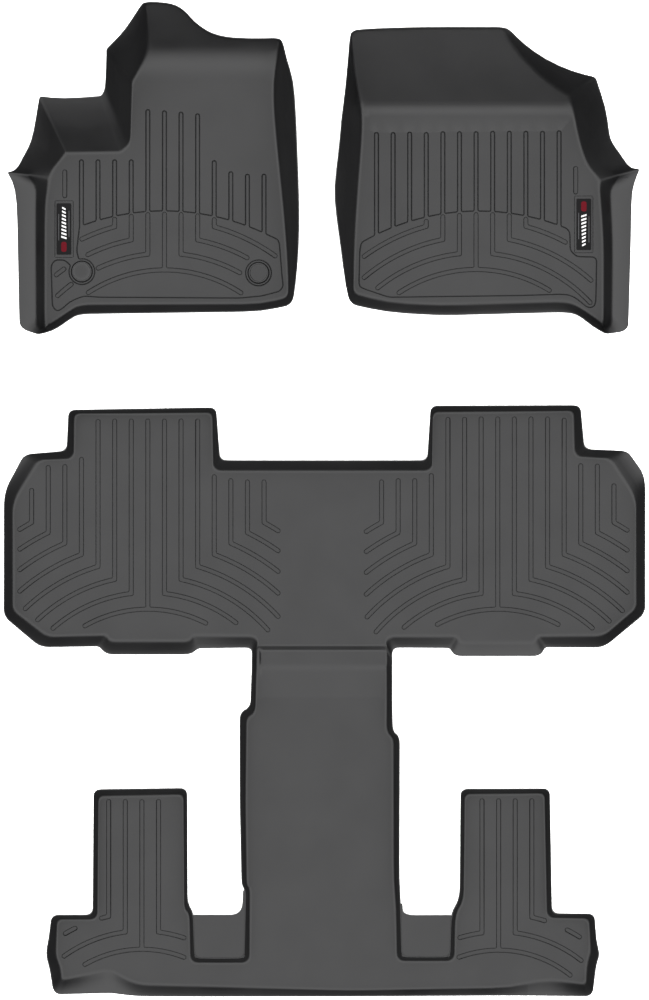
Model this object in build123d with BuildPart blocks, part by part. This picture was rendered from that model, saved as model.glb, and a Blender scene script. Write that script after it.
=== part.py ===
"""Floor mat set for a three-row vehicle: two front footwell liners and one liner for both rear rows.

Millimetres. +Y points to the front of the vehicle, +X to its right and +Z up.
The liners lie as they do in the vehicle, and all stand on z = 0.
"""
import os
from math import cos, hypot, radians, sin, sqrt, tan

from build123d import *

os.makedirs("parts", exist_ok=True)

# --- driving dimensions -------------------------------------------------------------------------
SHEET = 3.0                 # thickness of the moulded sheet in the walls
STEP = 2.0                  # how far a front reservoir lies below the rest of its floor
REAR_FLOOR = 4.5            # top of the rear liner's floor, and of the front reservoirs
FRONT_FLOOR = REAR_FLOOR + STEP
ROOT = 5.0                  # how far each wall's root reaches in under the floor
SADDLE = 30.0               # height of the two flat panels between aisle and third-row wells

CHANNEL_WIDTH = 11.0        # drainage channels
CHANNEL_DEPTH = 2.0
CHANNEL_PITCH = 39.0        # from one channel to the next

RETAINER_CENTRES = [(-570, 542), (-155, 539)]      # over the two posts in the driver's floor
POST_RADIUS = 9.0           # bore for the floor post
STEM_RADIUS = 11.5
STEM_GAP = 0.05             # between the cap's stem and the ring that grips it
HOLE_RADIUS = 12.0          # through the liner
RING_RADIUS = 20.0
RING_TOP = 3.4              # roof of the recess that holds the ring
RECESS_RADIUS = 21.0
CAP_BOTTOM = 0.6
CAP_RADIUS = 25.5
CAP_FLANGE = 2.4            # thickness of the cap's rim on the liner
CAP_ROUND = 0.8
DISH_RADIUS = 19.5          # shallow dish in the cap's top
DISH_DEPTH = 1.2
DISH_CHAMFER = 0.6
RING_CHAMFER = 0.8
PANEL_BACK = 300.0          # beyond both front liners' rear edges
PANEL_REACH = 800.0         # wider and higher than both front liners
BOSS_RADIUS = 29.5          # stays level with the upper floor where a reservoir surrounds a cap

BADGE_FRAME = (44, 134)     # recess for the maker's plate
BADGE_SIZE = (34, 120)
BADGE_CORNER = 3.0
BADGE_RECESS = 1.0
PAD_SIZE = (30, 116)
PAD_CORNER = 2.0
PAD_THICKNESS = 0.6
PLATE_THICKNESS = 1.2
DRIVER_BADGE = (-612, 642)  # centres
PASSENGER_BADGE = (609, 653)

STRAIGHT = (0.46, 0.5)      # a wall that leans out a little more towards its rim
FLANGE = (0.27, 0.76)       # a wall that rises steeply, then lies back over the door sill

# --- wall stations ------------------------------------------------------------------------------
# Each station is a section through the wall: foot x, foot y, rim x, rim y, rim height, and the knee
# as its share of the wall's run and height. The wall is ruled from one station to the next.
DRIVER_WALL = [
    # right side, beside the console, from the toe board back
    (-106, 1076, -97, 1078, 66, STRAIGHT),
    (-111, 1036, -87, 1032, 85, STRAIGHT),
    (-119, 990, -71, 980, 112, STRAIGHT),
    (-118, 916, -66, 905, 120, STRAIGHT),
    (-107, 803, -62, 806, 115, STRAIGHT),
    (-96, 698, -58, 690, 105, STRAIGHT),
    (-88, 604, -59, 591, 85, STRAIGHT),
    (-83, 514, -67, 505, 50, STRAIGHT),
    # rear side, in front of the seat
    (-85, 481, -75, 462, 38, STRAIGHT),
    (-147, 465, -146, 446, 36, STRAIGHT),
    (-575, 464, -575, 440, 36, STRAIGHT),
    (-600, 448, -596, 428, 36, STRAIGHT),
    (-640, 420, -633, 401, 38, STRAIGHT),
    # door sill
    (-656, 409, -670, 392, 42, STRAIGHT),
    (-658, 430, -713, 406, 58, FLANGE),
    (-658, 615, -717, 612, 60, FLANGE),
    (-657, 698, -719, 705, 62, FLANGE),
    (-652, 733, -727, 746, 68, FLANGE),
    (-645, 761, -741, 770, 78, STRAIGHT),
    # beside and over the foot rest
    (-636, 785, -719, 774, 84, STRAIGHT),
    (-622, 803, -699, 809, 100, STRAIGHT),
    (-615, 812, -679, 842, 120, STRAIGHT),
    (-607, 820, -661, 942, 140, STRAIGHT),
    (-560, 821, -607, 936, 138, STRAIGHT),
    (-478, 822, -518, 942, 140, STRAIGHT),
    # between the foot rest and the pedals
    (-457, 841, -509, 956, 143, STRAIGHT),
    (-455, 916, -506, 1004, 150, STRAIGHT),
    (-453, 986, -505, 1049, 158, STRAIGHT),
    (-409, 1065, -463, 1093, 150, STRAIGHT),
    (-412, 1137, -425, 1152, 152, STRAIGHT),
]
DRIVER_TOE_EDGE = [
    (-416, 1159.5), (-359, 1158), (-327, 1145), (-298, 1113), (-251, 1088), (-174, 1083), (-108, 1085),
]

PASSENGER_WALL = [
    # left side, beside the console, from the toe board back
    (63, 1071, 57, 1072, 160, STRAIGHT),
    (70, 994, 50, 983, 130, STRAIGHT),
    (83, 939, 43, 924, 118, STRAIGHT),
    (88, 902, 38, 887, 115, STRAIGHT),
    (86, 846, 33, 822, 112, STRAIGHT),
    (79, 752, 21, 732, 105, STRAIGHT),
    (74, 686, 26, 672, 95, STRAIGHT),
    (69, 604, 38, 587, 75, STRAIGHT),
    (67, 521, 49, 502, 50, STRAIGHT),
    # rear side
    (67, 491, 60, 463, 40, STRAIGHT),
    (147, 470, 144, 445, 30, STRAIGHT),
    (271, 464, 270, 437, 28, STRAIGHT),
    (568, 473, 565, 445, 28, STRAIGHT),
    (596, 460, 594, 439, 30, STRAIGHT),
    (638, 430, 629, 409, 38, STRAIGHT),
    # door sill
    (654, 413, 659, 393, 42, STRAIGHT),
    (656, 437, 710, 400, 58, FLANGE),
    (656, 615, 716, 612, 60, FLANGE),
    (650, 698, 717, 698, 62, FLANGE),
    (647, 733, 720, 737, 68, FLANGE),
    (645, 754, 736, 778, 78, STRAIGHT),
    # right side, up to the toe board
    (633, 773, 712, 779, 84, STRAIGHT),
    (617, 792, 690, 809, 98, STRAIGHT),
    (605, 827, 665, 840, 118, STRAIGHT),
    (593, 874, 660, 867, 125, STRAIGHT),
    (584, 926, 654, 913, 130, STRAIGHT),
    (572, 954, 629, 985, 142, STRAIGHT),
    (524, 981, 573, 998, 150, STRAIGHT),
    (475, 1019, 510, 1025, 158, STRAIGHT),
    (440, 1056, 456, 1064, 164, STRAIGHT),
    (418, 1083, 430, 1092, 166, STRAIGHT),
]
PASSENGER_TOE_EDGE = [(413, 1098), (221, 1098), (105, 1095), (62, 1091)]

REAR_WALL = [
    # left tongue, between the front seat's rails
    (-589, 210, -600, 217, 40, STRAIGHT),
    (-262, 212, -253, 223, 40, STRAIGHT),
    (-260, 75, -244, 99, 45, STRAIGHT),
    # front edge over the tunnel, and the right tongue
    (251, 75, 240, 99, 45, STRAIGHT),
    (253, 213, 248, 227, 40, STRAIGHT),
    (586, 216, 600, 228, 40, STRAIGHT),
    (588, 109, 609, 125, 40, STRAIGHT),
    # right door sill
    (669, 103, 710, 121, 34, STRAIGHT),
    (732, 7, 751, 63, 38, STRAIGHT),
    (733, -249, 751, -260, 48, STRAIGHT),
    (657, -313, 654, -341, 34, STRAIGHT),
    # under the right second-row seat
    (501, -313, 518, -340, 26, STRAIGHT),
    (491, -328, 506, -361, 18, STRAIGHT),
    (320, -328, 305, -361, 18, STRAIGHT),
    (311, -313, 293, -342, 24, STRAIGHT),
    # right side of the aisle
    (145, -314, 159, -341, 26, STRAIGHT),
    (148, -466, 159, -475, 40, STRAIGHT),
    (147, -539, 161, -536, 40, STRAIGHT),
    (163, -554, 177, -548, 40, STRAIGHT),
    (164, -889, 176, -885, 40, STRAIGHT),
    (169, -947, 180, -945, SADDLE, STRAIGHT),
    (171, -1076, 182, -1063, SADDLE, STRAIGHT),
    # round the right third-row well
    (304, -1076, 293, -1063, SADDLE, STRAIGHT),
    (306, -965, 295, -962, SADDLE, STRAIGHT),
    (325, -936, 316, -927, 38, STRAIGHT),
    (328, -684, 318, -670, 38, STRAIGHT),
    (518, -682, 528, -669, 38, STRAIGHT),
    (524, -974, 533, -962, 38, STRAIGHT),
    (622, -976, 633, -962, 38, STRAIGHT),
    (626, -1039, 637, -1028, 38, STRAIGHT),
    (625, -1058, 646, -1058, 38, STRAIGHT),
    (617, -1081, 637, -1080, 38, STRAIGHT),
    # back edge
    (615, -1133, 628, -1157, 40, STRAIGHT),
    (518, -1117, 517, -1157, 25, STRAIGHT),
    (436, -1138, 435, -1157, 22, STRAIGHT),
    (60, -1145, 60, -1159.5, 18, STRAIGHT),
    (-293, -1135, -292, -1159, 26, STRAIGHT),
    (-445, -1131, -444, -1158, 28, STRAIGHT),
    (-504, -1095, -500, -1150, 28, STRAIGHT),
    (-617, -1121, -635, -1153, 36, STRAIGHT),
    # round the left third-row well
    (-620, -1091, -644, -1091, 40, STRAIGHT),
    (-631, -1067, -654, -1056, 38, STRAIGHT),
    (-631, -1037, -646, -1021, 38, STRAIGHT),
    (-629, -978, -640, -965, 38, STRAIGHT),
    (-535, -978, -543, -965, 38, STRAIGHT),
    (-532, -689, -541, -671, 38, STRAIGHT),
    (-330, -685, -321, -668, 38, STRAIGHT),
    (-328, -954, -320, -937, 38, STRAIGHT),
    (-316, -966, -306, -963, SADDLE, STRAIGHT),
    (-314, -1080, -303, -1066, SADDLE, STRAIGHT),
    # left side of the aisle
    (-177, -1080, -189, -1066, SADDLE, STRAIGHT),
    (-176, -907, -187, -908, SADDLE, STRAIGHT),
    (-184, -900, -195, -895, 38, STRAIGHT),
    (-187, -701, -199, -698, 40, STRAIGHT),
    (-184, -506, -199, -491, 40, STRAIGHT),
    (-164, -494, -174, -478, 40, STRAIGHT),
    (-161, -383, -171, -382, 40, STRAIGHT),
    (-157, -314, -170, -341, 28, STRAIGHT),
    # under the left second-row seat
    (-308, -311, -296, -343, 24, STRAIGHT),
    (-318, -326, -313, -357, 34, STRAIGHT),
    (-503, -326, -511, -357, 34, STRAIGHT),
    (-513, -311, -529, -338, 30, STRAIGHT),
    (-650, -316, -666, -340, 36, STRAIGHT),
    # left door sill
    (-733, -254, -751, -267, 48, STRAIGHT),
    (-733, 0, -751, 25, 38, STRAIGHT),
    (-669, 100, -704, 113, 32, STRAIGHT),
    (-590, 104, -604, 121, 40, STRAIGHT),
]


# --- toe boards ---------------------------------------------------------------------------------
def toe_rise(y, start, radius, slope):
    """Height of a toe board above the floor at y: an arc from start, then a straight ramp."""
    beyond = y - start
    arc_run = radius * sin(slope)
    if beyond <= 0:
        return 0.0
    if beyond <= arc_run:
        return radius - sqrt(radius ** 2 - beyond ** 2)
    return radius * (1 - cos(slope)) + (beyond - arc_run) * tan(slope)


DRIVER_TOE = (980, 120, radians(48))        # start, radius, final slope
PASSENGER_TOE = (900, 50, radians(42.25))
TOE_END = 1230                              # beyond both toe edges


def driver_rise(y):
    return toe_rise(y, *DRIVER_TOE)


def passenger_rise(y):
    return toe_rise(y, *PASSENGER_TOE)


def flat_rise(y):
    return 0.0


# --- walls --------------------------------------------------------------------------------------
def wall_plane(station):
    """Upright plane through the wall at a station: its x runs from foot to rim, its y is up."""
    foot_x, foot_y, rim_x, rim_y = station[:4]
    return Plane((foot_x, foot_y, 0), x_dir=(rim_x - foot_x, rim_y - foot_y, 0),
                 z_dir=(rim_y - foot_y, foot_x - rim_x, 0))


def root_point(station):
    """Where the wall's section meets the floor panel, a little inside its foot."""
    foot_x, foot_y, rim_x, rim_y = station[:4]
    run = hypot(rim_x - foot_x, rim_y - foot_y)
    return (foot_x - ROOT * (rim_x - foot_x) / run, foot_y - ROOT * (rim_y - foot_y) / run)


def wall_outline(station, floor_top, rise):
    """Outline of the wall's section: underside from the floor to the rim, and back down the upper side."""
    foot_x, foot_y, rim_x, rim_y, rim_z, knee = station
    run = hypot(rim_x - foot_x, rim_y - foot_y)
    foot_z = rise(foot_y)
    root_z = rise(root_point(station)[1])
    knee_x = run * knee[0]
    knee_z = foot_z + (rim_z - foot_z) * knee[1]
    lower_width = SHEET * hypot(knee_x, knee_z - foot_z) / (knee_z - foot_z)
    upper_width = SHEET * hypot(run - knee_x, rim_z - knee_z) / (rim_z - knee_z)
    lower_lean = knee_x / (knee_z - foot_z)
    return [
        (-ROOT, root_z),
        (0, foot_z),
        (knee_x, knee_z),
        (run, rim_z),
        (run - upper_width, rim_z),
        (knee_x - (lower_width + upper_width) / 2, knee_z),
        (floor_top * lower_lean - lower_width, foot_z + floor_top),
        (-ROOT, root_z + floor_top),
    ]


def wall_sections(stations, floor_top, rise):
    """One flat section of the wall at each station."""
    sections = []
    for station in stations:
        with BuildSketch(wall_plane(station)) as section:
            with BuildLine():
                Polyline(*wall_outline(station, floor_top, rise), close=True)
            make_face()
        sections.append(section.sketch)
    return sections


def panel_outline(stations, edge=()):
    """Plan outline of a floor panel: the roots of the walls, then the free edge of a toe board."""
    return [root_point(station) for station in stations] + list(edge)


def channel_group(axis, first_radius, ring_pitch, tops, left_ends, right_ends):
    """Centre lines of the channels about one axis.

    The channel that is n pitches from the axis runs straight back from tops[n], and then turns outwards
    along an arc. The arcs share a centre, grow by ring_pitch, and stop at a distance from the axis.
    """
    axis_x, centre_y = axis
    with BuildLine() as lines:
        for number, top in tops.items():
            straight_x = number * CHANNEL_PITCH
            radius = first_radius + abs(number) * ring_pitch
            bottom = centre_y + sqrt(radius ** 2 - straight_x ** 2)
            Line((axis_x + straight_x, top), (axis_x + straight_x, bottom))
        for side, ends in ((-1, left_ends), (1, right_ends)):
            for number, end in enumerate(ends):
                start = number * CHANNEL_PITCH
                radius = first_radius + number * ring_pitch
                along = [start, (start + end) / 2, end]
                ThreePointArc(*[(axis_x + side * x, centre_y + sqrt(radius ** 2 - x ** 2)) for x in along])
    return lines.line.edges()


def arc_pieces(axis, pieces):
    """Centre lines of pieces of arcs, each given by its radius and two plan distances from the axis."""
    axis_x, centre_y = axis
    with BuildLine() as lines:
        for radius, start, end in pieces:
            along = [start, (start + end) / 2, end]
            ThreePointArc(*[(axis_x + x, centre_y + sqrt(radius ** 2 - x ** 2)) for x in along])
    return lines.line.edges()


def straight_group(axis_x, tops, bottoms):
    """Centre lines of straight channels, at whole pitches from an axis."""
    with BuildLine() as lines:
        for number, top in tops.items():
            x = axis_x + number * CHANNEL_PITCH
            Line((x, top), (x, bottoms[number]))
    return lines.line.edges()


# --- channels of the rear liner -----------------------------------------------------------------
SECOND_ROW_RINGS = (299, CHANNEL_PITCH)             # first arc's radius, and from one arc to the next
LEFT_SECOND_ROW = channel_group(
    (-415, -550), *SECOND_ROW_RINGS,
    tops={-7: 28, -6: 82, -5: 84, -4: 101, -3: 190, -2: 191, -1: 191, 0: 191,
          1: 191, 2: 191, 3: 191, 4: 60, 5: 51, 6: 48, 7: 48},
    left_ends=[148, 223, 259, 288, 301, 301, 301, 301],
    right_ends=[136, 207, 282, 306, 306, 306, 306, 306])
RIGHT_SECOND_ROW = channel_group(
    (407, -550), *SECOND_ROW_RINGS,
    tops={-7: 48, -6: 51, -5: 51, -4: 63, -3: 195, -2: 195, -1: 196, 0: 196,
          1: 196, 2: 196, 3: 196, 4: 193, 5: 86, 6: 85, 7: 39},
    left_ends=[142, 220, 286, 307, 309, 309, 309, 309],
    right_ends=[142, 222, 262, 295, 304, 304, 304, 304])
THIRD_ROW_RINGS = (270, 43)
LEFT_THIRD_ROW = channel_group(
    (-429, -1320), *THIRD_ROW_RINGS,
    tops={-2: -703, -1: -703, 0: -703, 1: -703},
    left_ends=[134, 183, 95], right_ends=[99, 99])
RIGHT_THIRD_ROW = channel_group(
    (409, -1322), *THIRD_ROW_RINGS,
    tops={-1: -701, 0: -701, 1: -701, 2: -701},
    left_ends=[93, 91], right_ends=[168, 194, 108])

THIRD_ROW_SIDE_ARCS = (
    arc_pieces((-429, -1320), [(270 + 2 * 43, -157, -180)])
    + arc_pieces((409, -1322), [(270 + 2 * 43, 161, 190)]))

# --- channels of the front liners ---------------------------------------------------------------
FRONT_RINGS = (327, CHANNEL_PITCH)
DRIVER_CHANNELS = channel_group(
    (-376, 219), *FRONT_RINGS,
    tops={-3: 665, -2: 672, -1: 676, 0: 677, 1: 676, 2: 673, 3: 664},
    left_ends=[179, 156, 180, 194], right_ends=[180, 177, 194, 260])
DRIVER_SIDE_ARCS = arc_pieces(                      # beyond the left retainer
    (-376, 219), [(327 + CHANNEL_PITCH, -219, -251), (327 + 2 * CHANNEL_PITCH, -236, -254)])
DRIVER_UPPER = straight_group(
    -376,
    tops={-6: 776, -5: 800, -4: 800, -3: 800, -2: 800, -1: 918, 0: 915, 1: 912, 2: 908, 3: 798,
          4: 772, 5: 766, 6: 766},
    bottoms={-6: 709, -5: 645, -4: 656, -3: 670, -2: 678, -1: 682, 0: 685, 1: 684, 2: 681, 3: 673,
             4: 665, 5: 650, 6: 635})
PASSENGER_CHANNELS = channel_group(
    (356, 220), *FRONT_RINGS,
    tops={-3: 660, -2: 671, -1: 674, 0: 676, 1: 676, 2: 673, 3: 665},
    left_ends=[181, 231, 263, 263], right_ends=[172, 268, 270, 210])
PASSENGER_UPPER = straight_group(
    356,
    tops={-6: 864, -5: 864, -4: 865, -3: 864, -2: 866, -1: 866, 0: 866, 1: 867, 2: 867, 3: 867,
          4: 867, 5: 868, 6: 784},
    bottoms={-6: 622, -5: 641, -4: 656, -3: 667, -2: 676, -1: 682, 0: 684, 1: 682, 2: 678, 3: 671,
             4: 661, 5: 650, 6: 723})

# --- front reservoirs: outline of the lower part of each floor ----------------------------------
DRIVER_RESERVOIR_ARC = [(-577, 648), (-356, 685), (-133, 629)]
DRIVER_RESERVOIR_REST = [
    (-133, 629), (-109, 618), (-105, 608), (-99, 533), (-96, 507), (-105, 495), (-147, 484),
    (-199, 479), (-528, 481), (-563, 484), (-579, 479), (-598, 470), (-617, 453), (-629, 448),
    (-640, 460), (-643, 557), (-633, 570), (-610, 570), (-594, 557), (-578, 569), (-583, 590),
    (-577, 648),
]
PASSENGER_RESERVOIR_ARC = [(86, 611), (366, 685), (570, 644)]
PASSENGER_RESERVOIR_REST = [
    (570, 644), (577, 634), (578, 592), (593, 578), (633, 577), (640, 571), (639, 510), (638, 470),
    (634, 460), (624, 456), (615, 459), (589, 480), (572, 487), (553, 488), (459, 485), (154, 481),
    (142, 484), (95, 500), (83, 505), (80, 514), (82, 592), (86, 611),
]


def cut_channels(lines, top):
    """Cut channels into a floor whose upper face is at top."""
    with BuildSketch(Plane.XY.offset(top)) as channels:
        for line in lines:
            trace(line, CHANNEL_WIDTH)
            with Locations(line @ 0, line @ 1):
                Circle(CHANNEL_WIDTH / 2)
    extrude(channels.sketch, amount=-CHANNEL_DEPTH, mode=Mode.SUBTRACT)


def rule_walls(sections):
    """Rule the wall through neighbouring sections, one stretch at a time."""
    return [loft(pair, ruled=True, mode=Mode.PRIVATE) for pair in zip(sections, sections[1:])]


# --- rear liner, one piece for the second and third rows ----------------------------------------
rear_walls = rule_walls(wall_sections(REAR_WALL + REAR_WALL[:1], REAR_FLOOR, flat_rise))
LEFT_SADDLE = [(-308, -967), (-183, -967), (-183, -1070), (-308, -1070)]
RIGHT_SADDLE = [(177, -967), (298, -967), (298, -1070), (177, -1070)]

with BuildPart() as rear_liner:
    with BuildSketch():
        with BuildLine():
            Polyline(*panel_outline(REAR_WALL), close=True)
        make_face()
    extrude(amount=REAR_FLOOR)
    add(rear_walls)
    with BuildSketch(Plane.XY.offset(SADDLE - SHEET)):
        for saddle in (LEFT_SADDLE, RIGHT_SADDLE):
            with BuildLine():
                Polyline(*saddle, close=True)
            make_face()
    extrude(amount=SHEET)
    cut_channels(LEFT_SECOND_ROW + RIGHT_SECOND_ROW, REAR_FLOOR)
    cut_channels(LEFT_THIRD_ROW + RIGHT_THIRD_ROW + THIRD_ROW_SIDE_ARCS, REAR_FLOOR)

rear_liner.part.label = "rear_liner"
export_step(rear_liner.part, "parts/rear_liner.step")


# --- front liners -------------------------------------------------------------------------------
def front_panel(stations, edge, toe):
    """Floor panel of a front liner: its side profile across the width, trimmed to its plan outline."""
    start, radius, slope = toe
    arc_end = start + radius * sin(slope)
    middle = (start + arc_end) / 2
    under = [(start, 0), (middle, toe_rise(middle, *toe)), (arc_end, toe_rise(arc_end, *toe))]
    over = [(y, z + FRONT_FLOOR) for y, z in under]
    ramp = [(TOE_END, toe_rise(TOE_END, *toe)), (TOE_END, toe_rise(TOE_END, *toe) + FRONT_FLOOR)]
    with BuildPart() as panel:
        with BuildSketch(Plane.YZ):
            with BuildLine():
                ThreePointArc(*under)
                Polyline(under[-1], *ramp, over[-1])
                ThreePointArc(*reversed(over))
                Polyline(over[0], (PANEL_BACK, FRONT_FLOOR), (PANEL_BACK, 0), under[0])
            make_face()
        extrude(amount=PANEL_REACH, both=True)
        with BuildSketch():
            with BuildLine():
                Polyline(*panel_outline(stations, edge), close=True)
            make_face()
        extrude(amount=PANEL_REACH, mode=Mode.INTERSECT)
    return panel.part


def cut_reservoir(arc, rest, bosses=()):
    """Lower the part of a front floor inside an outline, but not round the retainers."""
    with BuildSketch(Plane.XY.offset(FRONT_FLOOR)) as reservoir:
        with BuildLine():
            ThreePointArc(*arc)
            Polyline(*rest)
        make_face()
        for boss in bosses:
            with Locations(boss):
                Circle(BOSS_RADIUS, mode=Mode.SUBTRACT)
    extrude(reservoir.sketch, amount=-STEP, mode=Mode.SUBTRACT)


def cut_badge_recess(centre):
    """Sink the frame that the badge sits in."""
    with BuildSketch(Plane.XY.offset(FRONT_FLOOR)) as recess:
        with Locations(centre):
            RectangleRounded(*BADGE_FRAME, BADGE_CORNER)
    extrude(recess.sketch, amount=-BADGE_RECESS, mode=Mode.SUBTRACT)


driver_walls = rule_walls(wall_sections(DRIVER_WALL, FRONT_FLOOR, driver_rise))
driver_panel = front_panel(DRIVER_WALL, DRIVER_TOE_EDGE, DRIVER_TOE)

with BuildPart() as driver_liner:
    add(driver_panel)
    add(driver_walls)
    cut_reservoir(DRIVER_RESERVOIR_ARC, DRIVER_RESERVOIR_REST, RETAINER_CENTRES)
    cut_channels(DRIVER_UPPER, FRONT_FLOOR)
    cut_channels(DRIVER_CHANNELS + DRIVER_SIDE_ARCS, REAR_FLOOR)
    cut_badge_recess(DRIVER_BADGE)
    with BuildSketch():
        with Locations(*RETAINER_CENTRES):
            Circle(RECESS_RADIUS)
    extrude(amount=RING_TOP, mode=Mode.SUBTRACT)
    with BuildSketch():
        with Locations(*RETAINER_CENTRES):
            Circle(HOLE_RADIUS)
    extrude(amount=FRONT_FLOOR, mode=Mode.SUBTRACT)

driver_liner.part.label = "driver_liner"
export_step(driver_liner.part, "parts/driver_liner.step")

passenger_walls = rule_walls(wall_sections(PASSENGER_WALL, FRONT_FLOOR, passenger_rise))
passenger_panel = front_panel(PASSENGER_WALL, PASSENGER_TOE_EDGE, PASSENGER_TOE)

with BuildPart() as passenger_liner:
    add(passenger_panel)
    add(passenger_walls)
    cut_reservoir(PASSENGER_RESERVOIR_ARC, PASSENGER_RESERVOIR_REST)
    cut_channels(PASSENGER_UPPER, FRONT_FLOOR)
    cut_channels(PASSENGER_CHANNELS, REAR_FLOOR)
    cut_badge_recess(PASSENGER_BADGE)

passenger_liner.part.label = "passenger_liner"
export_step(passenger_liner.part, "parts/passenger_liner.step")

# --- badges: a plate on an adhesive pad, in each front liner's frame ----------------------------
pad_bottom = FRONT_FLOOR - BADGE_RECESS
plate_bottom = pad_bottom + PAD_THICKNESS
for name, centre in (("driver", DRIVER_BADGE), ("passenger", PASSENGER_BADGE)):
    with BuildPart() as badge_pad:
        with BuildSketch(Plane((*centre, pad_bottom))):
            RectangleRounded(*PAD_SIZE, PAD_CORNER)
        extrude(amount=PAD_THICKNESS)
    badge_pad.part.label = f"{name}_badge_pad"
    export_step(badge_pad.part, f"parts/{name}_badge_pad.step")

    with BuildPart() as badge_plate:
        with BuildSketch(Plane((*centre, plate_bottom))):
            RectangleRounded(*BADGE_SIZE, BADGE_CORNER)
        extrude(amount=PLATE_THICKNESS)
        fillet(badge_plate.faces().sort_by(Axis.Z)[-1].edges(), PLATE_THICKNESS / 3)
    badge_plate.part.label = f"{name}_badge_plate"
    export_step(badge_plate.part, f"parts/{name}_badge_plate.step")

# --- retainers: a cap through the liner and a ring that grips its stem from below ---------------
for name, centre in zip(("left", "right"), RETAINER_CENTRES):
    with BuildPart() as retainer_cap:
        with BuildSketch(Plane((*centre, CAP_BOTTOM))):
            Circle(STEM_RADIUS)
        extrude(amount=FRONT_FLOOR - CAP_BOTTOM)
        with BuildSketch(Plane((*centre, FRONT_FLOOR))):
            Circle(CAP_RADIUS)
        extrude(amount=CAP_FLANGE)
        cap_top = retainer_cap.faces().sort_by(Axis.Z)[-1]
        fillet(cap_top.edges(), CAP_ROUND)
        with BuildSketch(Plane((*centre, FRONT_FLOOR + CAP_FLANGE))):
            Circle(DISH_RADIUS)
        extrude(amount=-DISH_DEPTH, mode=Mode.SUBTRACT)
        rim = retainer_cap.faces().filter_by(Plane.XY).sort_by(Axis.Z)[-1]
        chamfer(rim.inner_wires()[0].edges(), DISH_CHAMFER)
        with BuildSketch(Plane((*centre, CAP_BOTTOM))):
            Circle(POST_RADIUS)
        extrude(amount=FRONT_FLOOR - CAP_BOTTOM, mode=Mode.SUBTRACT)
    retainer_cap.part.label = f"{name}_retainer_cap"
    export_step(retainer_cap.part, f"parts/{name}_retainer_cap.step")

    with BuildPart() as retainer_ring:
        with BuildSketch(Plane((*centre, CAP_BOTTOM))):
            Circle(RING_RADIUS)
            Circle(STEM_RADIUS + STEM_GAP, mode=Mode.SUBTRACT)
        extrude(amount=RING_TOP - CAP_BOTTOM)
        chamfer(retainer_ring.faces().sort_by(Axis.Z)[0].outer_wire().edges(), RING_CHAMFER)
    retainer_ring.part.label = f"{name}_retainer_ring"
    export_step(retainer_ring.part, f"parts/{name}_retainer_ring.step")
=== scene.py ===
"""Looks of the floor mat set: three moulded liners, their badges and retainers, on a pale studio floor.

Lengths are in millimetres until the meshes are made, and plan positions are (x, y) in the row frame.
"""
from math import acos, asin, ceil, cos, degrees, hypot, pi, radians, sin, sqrt, tan

import bmesh
import bpy
import numpy as np
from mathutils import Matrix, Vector, geometry


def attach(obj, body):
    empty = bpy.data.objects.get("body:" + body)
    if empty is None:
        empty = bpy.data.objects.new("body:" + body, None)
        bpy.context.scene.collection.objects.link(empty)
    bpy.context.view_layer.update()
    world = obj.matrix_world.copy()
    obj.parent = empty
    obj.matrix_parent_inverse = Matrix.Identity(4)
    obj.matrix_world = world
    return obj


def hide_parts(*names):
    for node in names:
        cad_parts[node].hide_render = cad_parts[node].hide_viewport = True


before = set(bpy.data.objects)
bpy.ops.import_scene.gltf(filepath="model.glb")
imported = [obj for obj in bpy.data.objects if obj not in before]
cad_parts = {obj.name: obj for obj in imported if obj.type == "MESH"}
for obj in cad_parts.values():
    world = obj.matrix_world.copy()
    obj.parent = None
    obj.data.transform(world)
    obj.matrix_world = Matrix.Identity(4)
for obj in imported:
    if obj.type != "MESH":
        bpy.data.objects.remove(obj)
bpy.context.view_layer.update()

MM = 0.001

# --- moulded sheet ------------------------------------------------------------------------------
REAR_FLOOR = 4.5            # top of the rear liner's floor, and of the front reservoirs
STEP = 2.0                  # from a front liner's floor down to its reservoir
FRONT_FLOOR = REAR_FLOOR + STEP
FLOOR_SHEET = 2.0           # thickness of the sheet in the floors
RIM_SHEET = 3.0             # thickness of the sheet at the rims
FOOT_FILLET = 8.0           # where the floor turns up into a wall
KNEE_FILLET = 7.0
SHARP_CUT = 17.0            # rounding of the outline at a sharp corner
GENTLE_CUT = 45.0           # and at a slight one
WALL_SPACING = 30.0         # between sections on straight walls
STEP_SPACING = 4.0          # and beside the step across the aisle

SADDLE = 30.0               # height of the two flat panels between aisle and third-row wells
SADDLE_ROUNDING = 0.8
SADDLES = [                 # their corners, each with the cut that rounds it
    [(-304.5, -1067.5, 6), (-187, -1067.5, 6), (-185, -909, 1.5), (-191, -909, 1.5),
     (-193.5, -966.5, 28), (-308, -966.5, 3)],
    [(180.5, -1065, 6), (294.5, -1065, 6), (297.5, -967, 3), (184, -967, 26),
     (182.5, -940, 1.5), (178, -940, 1.5)],
]

CHANNEL_HALF = 5.2
CHANNEL_DEPTH = 3.2
CHANNEL_PITCH = 39.0
CHANNEL_INNER_CORNER = 2.5
CHANNEL_OUTER_CORNER = 5.0
ARC_SPACING = 7.0
# Across an edge: how far outside the edge, and what share of the drop is behind it. The edge of a
# reservoir, a retainer's boss or a badge's frame has a fine groove along its foot, deeper than the drop.
EDGE_PROFILE = [(0.8, 0.0), (0.4, 0.1), (-1.1, 0.9), (-1.9, 1.0)]
GROOVED_PROFILE = [(0.8, 0.0), (0.45, 0.15), (-0.8, 1.9), (-1.3, 1.95), (-2.4, 1.0)]
UNDERSIDE = 0.1             # the lowest that the sheet lies

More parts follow.
